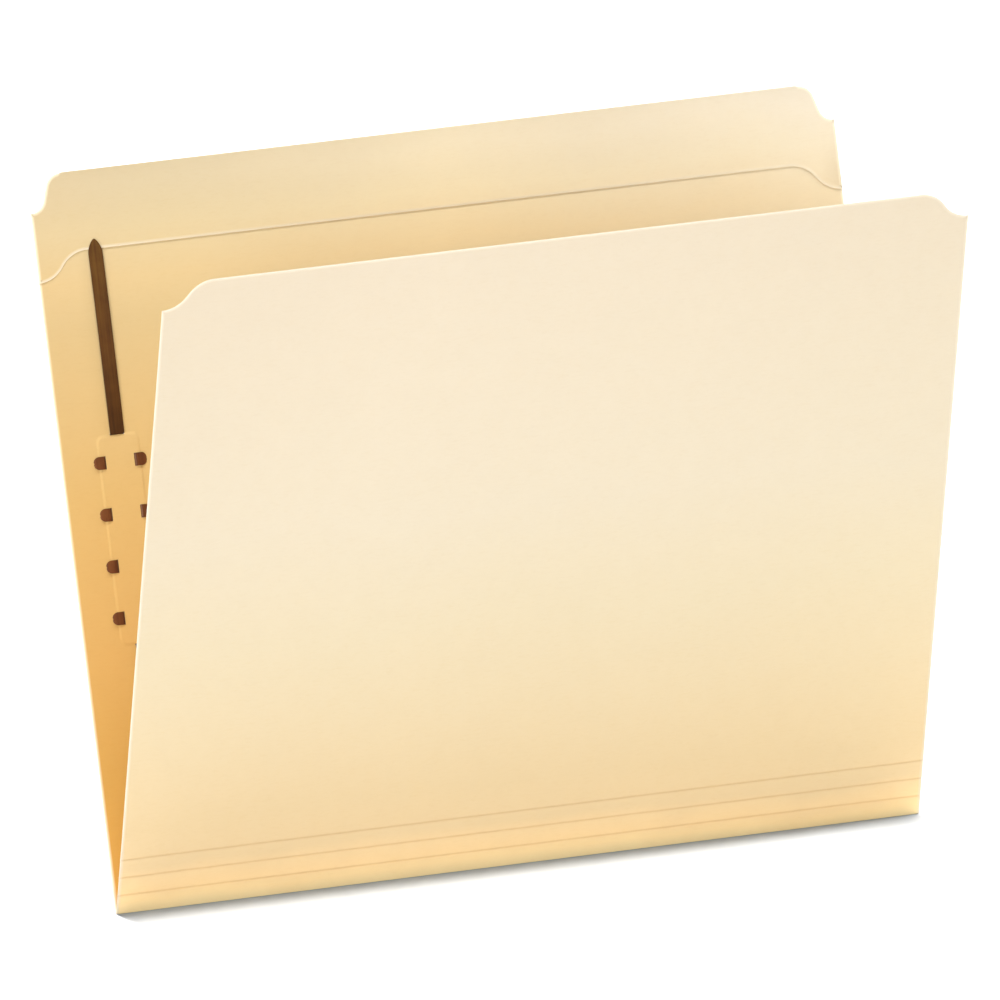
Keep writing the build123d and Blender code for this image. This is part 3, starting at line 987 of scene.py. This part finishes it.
prong = {
    "length": 64.8,
    "axisHeight": 0.455,  # middle of the strip above the leaf
    "foot": 0.1,  # start of the strip, above the leaf's outer face
    "bend": 0.20,  # radius at the slot
    "bendGap": 0.02,  # from the last upright station to the bend
    "bendSteps": 8,
    "runIn": 1.5,  # from the bend to the first straight station
    "straightStations": 24,
    "pointSteps": 12,
    "pointLength": 4.6,
    "pointWidth": 1.2,
    "pointTaper": 1.6,  # powers of the point's taper and of its blunt end
    "pointBlunt": 9,
    "crown": 0.05,
    "bow": 0.45,  # spring of the strip away from the leaf
    "tipSpring": 0.25,  # share of it that the point keeps
    "across": (-1.0, -0.97, -0.9, -0.6, -0.3, 0.0, 0.3, 0.6, 0.9, 0.97, 1.0),  # points over its width
    "edgeRound": {1.0: 0.045, 0.97: 0.012},
    # darker rims along the strip's edges: partly wear, partly painted shade where the edges turn from the
    # light
    "edgeWearAndShade": {1.0: 1.0, 0.97: 1.0, 0.9: 0.6},
    "leastWidth": 0.12,  # half width at the blunt point
}


def prongHalfWidth(along):
    # half width at a distance from the root
    half, tip = fastener["prongWidth"] / 2, prong["pointWidth"] / 2
    into = (along - (prong["length"] - prong["pointLength"])) / prong["pointLength"]
    if into <= 0:
        return half
    taper = half + (tip - half) * into ** prong["pointTaper"]
    return max(prong["leastWidth"], taper * math.sqrt(max(0.0, 1 - into ** prong["pointBlunt"])))


def prongStations(root, way):
    # centre line (v, h), direction of travel and half width, from the base to the point
    p = prong
    bend, level, halfWide = p["bend"], p["axisHeight"], fastener["prongWidth"] / 2
    upright = (-card + p["foot"], 0.0, level - bend - p["bendGap"])
    stations = [((root, h), (0, 1), halfWide) for h in upright]
    for a in np.radians(np.linspace(0, 90, p["bendSteps"] + 1)):
        spot = (root + way * bend * (1 - math.cos(a)), level - bend + bend * math.sin(a))
        stations.append((spot, (way * math.sin(a), math.cos(a)), halfWide))
    pointStart = p["length"] - p["pointLength"]
    straight = list(np.linspace(bend + p["runIn"], pointStart, p["straightStations"]))
    quarter = np.linspace(0, math.pi / 2, p["pointSteps"] + 1)[1:]  # stations crowd towards the point
    point = [pointStart + p["pointLength"] * k for k in np.sin(quarter)]
    for along in straight + point:
        share = along / p["length"]
        lift = p["bow"] * share * (2 * (1 - share) + p["tipSpring"])
        stations.append(((root + way * along, level + lift), (way, 0), prongHalfWidth(along)))
    return stations


def makeProng(name, way, body):
    root = fastener["height"] + way * fastener["prongSpacing"] / 2
    half = fastener["steel"] / 2
    across = prong["across"]
    points, marks = [], []
    stations = prongStations(root, way)
    for (v, h), (dv, dh), width in stations:
        outV, outH = -dh * way, abs(dv)  # side of the strip that faces into the folder
        for side in (1, -1):
            for x in across if side == 1 else reversed(across):
                roundOff = prong["edgeRound"].get(abs(x), 0.0)
                t = side * (half - roundOff) + prong["crown"] * (1 - x * x)
                points.append((fastenerU + x * width, v + t * outV, h + t * outH))
                marks.append(prong["edgeWearAndShade"].get(abs(x), 0.0))
    bm = bmesh.new()
    addFaces(bm, points, tubeFaces(len(stations), 2 * len(across)), marks)
    piece = finishPiece(name, meshFrom(bm, name), backPlace, fastenerCoat, 60)
    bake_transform(piece)
    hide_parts(body)


makeProng("upper_prong_steel", 1, "upper_prong")
makeProng("lower_prong_steel", -1, "lower_prong")
print("prongs made")


# Table, light and camera

studio = {
    "floorSize": 60.0,
    "floorTone": (0.42, 0.49, 0.585, 1),  # cool, so that the shadow by the fold is too
    "floorRough": 0.9,
    "floorSheen": 0.1,
    "sky": 0.27,
    "suns": (  # name, power, where it shines from, angle in degrees, colour, on the floor alone
        ("topSun", 2.6, (0.025, -0.115, 0.98), 4.5, (1, 1, 1), False),  # a little from the front
        ("floorSun", 4.9, (0.025, -0.115, 0.98), 4.5, (1.0, 0.74, 0.48), True),  # whitens the cool floor
        ("rightSun", 1.08, (0.72, -0.01, 0.70), 10.0, (1, 1, 1), False),  # along the folder's opening
        ("backSun", 6.85, (0.0, 0.50, 0.866), 6.0, (1.0, 0.88, 0.77), True)),  # fills the shadow behind
    "frontFill": 116.0,
    "frontFillFrom": (-3.0, -2.55, 0.9),  # reaches into the open end of the folder
    "frontFillAim": (0, 0, 0.10),
    "frontFillSize": (2.4, 1.8),
}


def makeFloor():
    s = studio
    mesh = bpy.data.meshes.new("floor")
    half = s["floorSize"] / 2
    corners = [(-half, -half, 0), (half, -half, 0), (half, half, 0), (-half, half, 0)]
    mesh.from_pydata(corners, [], [(0, 1, 2, 3)])
    material = bpy.data.materials.new("paleFloor")
    material.use_nodes = True
    shader = material.node_tree.nodes["Principled BSDF"]
    shader.inputs["Base Color"].default_value = s["floorTone"]
    shader.inputs["Roughness"].default_value = s["floorRough"]
    shader.inputs["Specular IOR Level"].default_value = s["floorSheen"]
    mesh.materials.append(material)
    floor = bpy.data.objects.new("floor", mesh)
    scene.collection.objects.link(floor)
    return floor


def aim(lamp, spot):
    lamp.rotation_mode = "QUATERNION"
    lamp.rotation_quaternion = (Vector(spot) - lamp.location).to_track_quat("-Z", "Y")


def addLamp(name, kind, location, spot, energy, **settings):
    data = bpy.data.lights.new(name, kind)
    data.energy = energy
    for key, value in settings.items():
        setattr(data, key, value)
    lamp = bpy.data.objects.new(name, data)
    lamp.location = location
    scene.collection.objects.link(lamp)
    aim(lamp, spot)
    lamp.visible_camera = False
    return lamp


def makeLight(floor):
    s = studio
    world = bpy.data.worlds.new("studioSky")
    scene.world = world
    world.use_nodes = True
    sky = world.node_tree.nodes["Background"]
    sky.inputs["Color"].default_value = (1, 1, 1, 1)
    sky.inputs["Strength"].default_value = s["sky"]
    floorOnly = bpy.data.collections.new("floorOnly")  # these suns don't bleach a leaf that lies open
    floorOnly.objects.link(floor)
    for name, power, source, angle, tint, floorAlone in s["suns"]:
        sun = addLamp(name, "SUN", source, (0, 0, 0), power, angle=math.radians(angle), color=tint)
        if floorAlone:
            sun.light_linking.receiver_collection = floorOnly
    wide, tall = s["frontFillSize"]
    addLamp("frontFill", "AREA", s["frontFillFrom"], s["frontFillAim"], s["frontFill"],
            shape="RECTANGLE", size=wide, size_y=tall)


photoCamera = {
    "sensor": 36.0,
    "lens": 1632.744,
    "azimuth": -27.0,
    "elevation": 13.8166,
    "distance": 15.0,
    "aim": (-4.732, 4.700, 123.573),  # mm
    "clip": (0.1, 200),
}


def makeCamera():
    c = photoCamera
    data = bpy.data.cameras.new("photoCamera")
    data.sensor_width = c["sensor"]
    data.lens = c["lens"]
    data.clip_start, data.clip_end = c["clip"]
    camera = bpy.data.objects.new("photoCamera", data)
    azimuth, elevation = math.radians(c["azimuth"]), math.radians(c["elevation"])
    level = math.cos(elevation)
    back = Vector((math.sin(azimuth) * level, -math.cos(azimuth) * level, math.sin(elevation)))
    camera.location = Vector(c["aim"]) * mm + back * c["distance"]
    camera.rotation_mode = "QUATERNION"
    camera.rotation_quaternion = (-back).to_track_quat("-Z", "Y")
    scene.collection.objects.link(camera)
    scene.camera = camera


floor = makeFloor()
makeLight(floor)
makeCamera()
scene.view_settings.view_transform = "Standard"
print("studio made")
